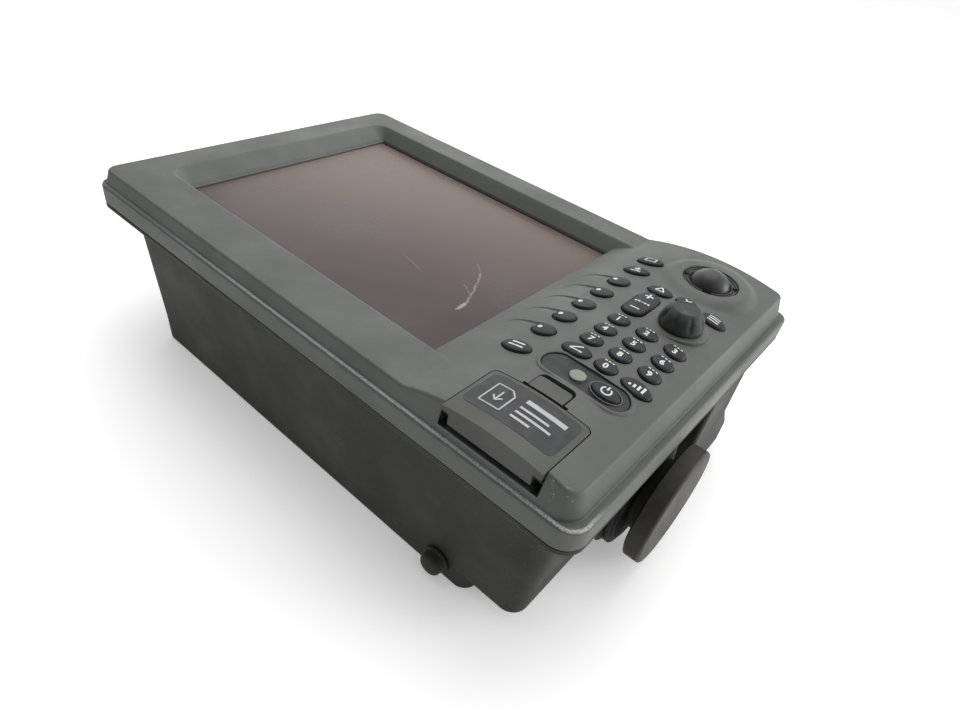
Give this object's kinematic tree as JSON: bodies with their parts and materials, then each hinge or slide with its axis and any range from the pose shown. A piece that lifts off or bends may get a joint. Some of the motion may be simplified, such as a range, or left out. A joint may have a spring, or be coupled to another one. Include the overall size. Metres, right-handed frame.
{
  "type": "chartplotter display",
  "caption": "Marine chartplotter display: sealed case with a wide screen, a curved keypad with trackball, turn knob and rocker, a hinged card lid and side clamping knobs.",
  "frame": {"origin": "bottom centre of the whole object as it lies on its back", "axes": "+Z out of the screen face, +X to the screen's right, +Y to the screen's top"},
  "size_m": [0.369, 0.2334, 0.1223],
  "materials": {
    "case_front": "fine-textured moulded plastic, matt grey-green",
    "case_rear": "matt dark grey coated die casting",
    "keycap": "moulded silicone rubber, satin",
    "seal": "matt black rubber",
    "screen": "coated flat glass over a dark panel",
    "gloss_panel": "glossy dark grey printed film",
    "lid": "moulded plastic, olive grey, slightly glossy",
    "lens": "pale translucent lens",
    "ball": "polished dark ball",
    "knob_rubber": "soft rubber grip, worn matt",
    "mount_knob": "moulded plastic, khaki grey, knurled rim",
    "black_plastic": "matt black moulded plastic",
    "sheet_metal": "plain sheet metal",
    "steel": "stainless steel",
    "circuit_board": "glass-fibre board, green"
  },
  "bodies": {
    "case": {"card_slot": "black_plastic", "case_gasket": "seal", "chassis_plate": "sheet_metal", "data_connector": "black_plastic", "front_bezel": "case_front", "key_board": "circuit_board", "key_mat": "seal", "knob_encoder": "sheet_metal", "lcd_module": "sheet_metal", "lid_pin": "steel", "light_lens": "lens", "main_board": "circuit_board", "network_connector": "black_plastic", "power_board": "circuit_board", "power_connector": "black_plastic", "power_panel": "gloss_panel", "rear_housing": "case_rear", "screen_gasket": "seal", "screen_glass": "screen", "trackball_ring": "black_plastic", "trackball_socket": "black_plastic", "vent_plug": "case_rear"},
    "key_0": {"key_0": "keycap"},
    "key_1": {"key_1": "keycap"},
    "key_2": {"key_2": "keycap"},
    "key_3": {"key_3": "keycap"},
    "key_4": {"key_4": "keycap"},
    "key_5": {"key_5": "keycap"},
    "key_6": {"key_6": "keycap"},
    "key_7": {"key_7": "keycap"},
    "key_8": {"key_8": "keycap"},
    "key_9": {"key_9": "keycap"},
    "key_alarm": {"key_alarm": "keycap"},
    "key_bearing": {"key_bearing": "keycap"},
    "key_clear": {"key_clear": "keycap"},
    "key_display": {"key_display": "keycap"},
    "key_gain": {"key_gain": "keycap"},
    "key_hide": {"key_hide": "keycap"},
    "key_menu": {"key_menu": "keycap"},
    "key_power": {"key_power": "keycap"},
    "key_save": {"key_save": "keycap"},
    "key_soft_1": {"key_soft_1": "keycap"},
    "key_soft_2": {"key_soft_2": "keycap"},
    "key_soft_3": {"key_soft_3": "keycap"},
    "key_soft_4": {"key_soft_4": "keycap"},
    "key_soft_5": {"key_soft_5": "keycap"},
    "range_rocker": {"range_rocker": "keycap"},
    "card_lid": {"card_lid": "lid", "lid_label": "gloss_panel"},
    "lid_latch": {"lid_latch": "lid"},
    "trackball": {"trackball": "ball"},
    "roller_x": {"roller_x": "steel"},
    "roller_y": {"roller_y": "steel"},
    "knob_shaft": {"knob_shaft": "steel"},
    "enter_knob": {"enter_knob": "knob_rubber"},
    "right_washer": {"right_washer": "seal"},
    "right_knob": {"right_knob": "mount_knob"},
    "left_washer": {"left_washer": "seal"},
    "left_knob": {"left_knob": "mount_knob"}
  },
  "joints": [
    {"name": "range_rock", "type": "hinge", "parent": "case", "child": "range_rocker", "pos_m": [0.11705, 0.02155, 0.107], "axis": [1, 0, 0], "range_deg": [-3, 3], "stiffness_Nm_per_rad": 0.8},
    {"name": "lid_swing", "type": "hinge", "parent": "case", "child": "card_lid", "pos_m": [0.12505, -0.10845, 0.1028], "axis": [1, 0, 0], "range_deg": [0, 100]},
    {"name": "latch_slide", "type": "slide", "parent": "case", "child": "lid_latch", "axis": [0, 1, 0], "range_m": [0, 0.002], "stiffness_N_per_m": 400},
    {"name": "ball_roll", "type": "hinge", "parent": "case", "child": "trackball", "pos_m": [0.13185, 0.07665, 0.1068], "axis": [1, 0, 0], "continuous": true},
    {"name": "roller_x_spin", "type": "hinge", "parent": "case", "child": "roller_x", "pos_m": [0.13185, 0.06288, 0.1008], "axis": [1, 0, 0], "continuous": true},
    {"name": "roller_y_spin", "type": "hinge", "parent": "case", "child": "roller_y", "pos_m": [0.11808, 0.07665, 0.1008], "axis": [0, 1, 0], "continuous": true},
    {"name": "enter_press", "type": "slide", "parent": "case", "child": "knob_shaft", "axis": [0, 0, -1], "range_m": [0, 0.0004], "stiffness_N_per_m": 3000},
    {"name": "enter_turn", "type": "hinge", "parent": "knob_shaft", "child": "enter_knob", "pos_m": [0.14015, 0.02115, 0.1124], "axis": [0, 0, 1], "continuous": true},
    {"name": "right_knob_draw", "type": "slide", "parent": "case", "child": "right_washer", "axis": [1, 0, 0], "range_m": [0, 0.0121]},
    {"name": "right_knob_turn", "type": "hinge", "parent": "right_washer", "child": "right_knob", "pos_m": [0.16025, -0.01715, 0.0392], "axis": [1, 0, 0], "range_deg": [0, 2880]},
    {"name": "left_knob_draw", "type": "slide", "parent": "case", "child": "left_washer", "axis": [-1, 0, 0], "range_m": [0, 0.0121]},
    {"name": "left_knob_turn", "type": "hinge", "parent": "left_washer", "child": "left_knob", "pos_m": [-0.14475, -0.01715, 0.0392], "axis": [-1, 0, 0], "range_deg": [0, 2880]},
    {"name": "key_0_press", "type": "slide", "parent": "case", "child": "key_0", "axis": [0, 0, -1], "range_m": [0, 0.0012], "stiffness_N_per_m": 900},
    {"name": "key_1_press", "type": "slide", "parent": "case", "child": "key_1", "axis": [0, 0, -1], "range_m": [0, 0.0012], "stiffness_N_per_m": 900},
    {"name": "key_2_press", "type": "slide", "parent": "case", "child": "key_2", "axis": [0, 0, -1], "range_m": [0, 0.0012], "stiffness_N_per_m": 900},
    {"name": "key_3_press", "type": "slide", "parent": "case", "child": "key_3", "axis": [0, 0, -1], "range_m": [0, 0.0012], "stiffness_N_per_m": 900},
    {"name": "key_4_press", "type": "slide", "parent": "case", "child": "key_4", "axis": [0, 0, -1], "range_m": [0, 0.0012], "stiffness_N_per_m": 900},
    {"name": "key_5_press", "type": "slide", "parent": "case", "child": "key_5", "axis": [0, 0, -1], "range_m": [0, 0.0012], "stiffness_N_per_m": 900},
    {"name": "key_6_press", "type": "slide", "parent": "case", "child": "key_6", "axis": [0, 0, -1], "range_m": [0, 0.0012], "stiffness_N_per_m": 900},
    {"name": "key_7_press", "type": "slide", "parent": "case", "child": "key_7", "axis": [0, 0, -1], "range_m": [0, 0.0012], "stiffness_N_per_m": 900},
    {"name": "key_8_press", "type": "slide", "parent": "case", "child": "key_8", "axis": [0, 0, -1], "range_m": [0, 0.0012], "stiffness_N_per_m": 900},
    {"name": "key_9_press", "type": "slide", "parent": "case", "child": "key_9", "axis": [0, 0, -1], "range_m": [0, 0.0012], "stiffness_N_per_m": 900},
    {"name": "key_alarm_press", "type": "slide", "parent": "case", "child": "key_alarm", "axis": [0, 0, -1], "range_m": [0, 0.0012], "stiffness_N_per_m": 900},
    {"name": "key_bearing_press", "type": "slide", "parent": "case", "child": "key_bearing", "axis": [0, 0, -1], "range_m": [0, 0.0012], "stiffness_N_per_m": 900},
    {"name": "key_clear_press", "type": "slide", "parent": "case", "child": "key_clear", "axis": [0, 0, -1], "range_m": [0, 0.0012], "stiffness_N_per_m": 900},
    {"name": "key_display_press", "type": "slide", "parent": "case", "child": "key_display", "axis": [0, 0, -1], "range_m": [0, 0.0012], "stiffness_N_per_m": 900},
    {"name": "key_gain_press", "type": "slide", "parent": "case", "child": "key_gain", "axis": [0, 0, -1], "range_m": [0, 0.0012], "stiffness_N_per_m": 900},
    {"name": "key_hide_press", "type": "slide", "parent": "case", "child": "key_hide", "axis": [0, 0, -1], "range_m": [0, 0.0012], "stiffness_N_per_m": 900},
    {"name": "key_menu_press", "type": "slide", "parent": "case", "child": "key_menu", "axis": [0, 0, -1], "range_m": [0, 0.0012], "stiffness_N_per_m": 900},
    {"name": "key_power_press", "type": "slide", "parent": "case", "child": "key_power", "axis": [0, 0, -1], "range_m": [0, 0.0012], "stiffness_N_per_m": 900},
    {"name": "key_save_press", "type": "slide", "parent": "case", "child": "key_save", "axis": [0, 0, -1], "range_m": [0, 0.0012], "stiffness_N_per_m": 900},
    {"name": "key_soft_1_press", "type": "slide", "parent": "case", "child": "key_soft_1", "axis": [0, 0, -1], "range_m": [0, 0.0012], "stiffness_N_per_m": 900},
    {"name": "key_soft_2_press", "type": "slide", "parent": "case", "child": "key_soft_2", "axis": [0, 0, -1], "range_m": [0, 0.0012], "stiffness_N_per_m": 900},
    {"name": "key_soft_3_press", "type": "slide", "parent": "case", "child": "key_soft_3", "axis": [0, 0, -1], "range_m": [0, 0.0012], "stiffness_N_per_m": 900},
    {"name": "key_soft_4_press", "type": "slide", "parent": "case", "child": "key_soft_4", "axis": [0, 0, -1], "range_m": [0, 0.0012], "stiffness_N_per_m": 900},
    {"name": "key_soft_5_press", "type": "slide", "parent": "case", "child": "key_soft_5", "axis": [0, 0, -1], "range_m": [0, 0.0012], "stiffness_N_per_m": 900}
  ],
  "couplings": [
    {"joint": "roller_x_spin", "follows": "ball_roll", "ratio": -5.2083},
    {"joint": "right_knob_draw", "follows": "right_knob_turn", "m_per_rad": 0.00023873},
    {"joint": "left_knob_draw", "follows": "left_knob_turn", "m_per_rad": 0.00023873}
  ]
}
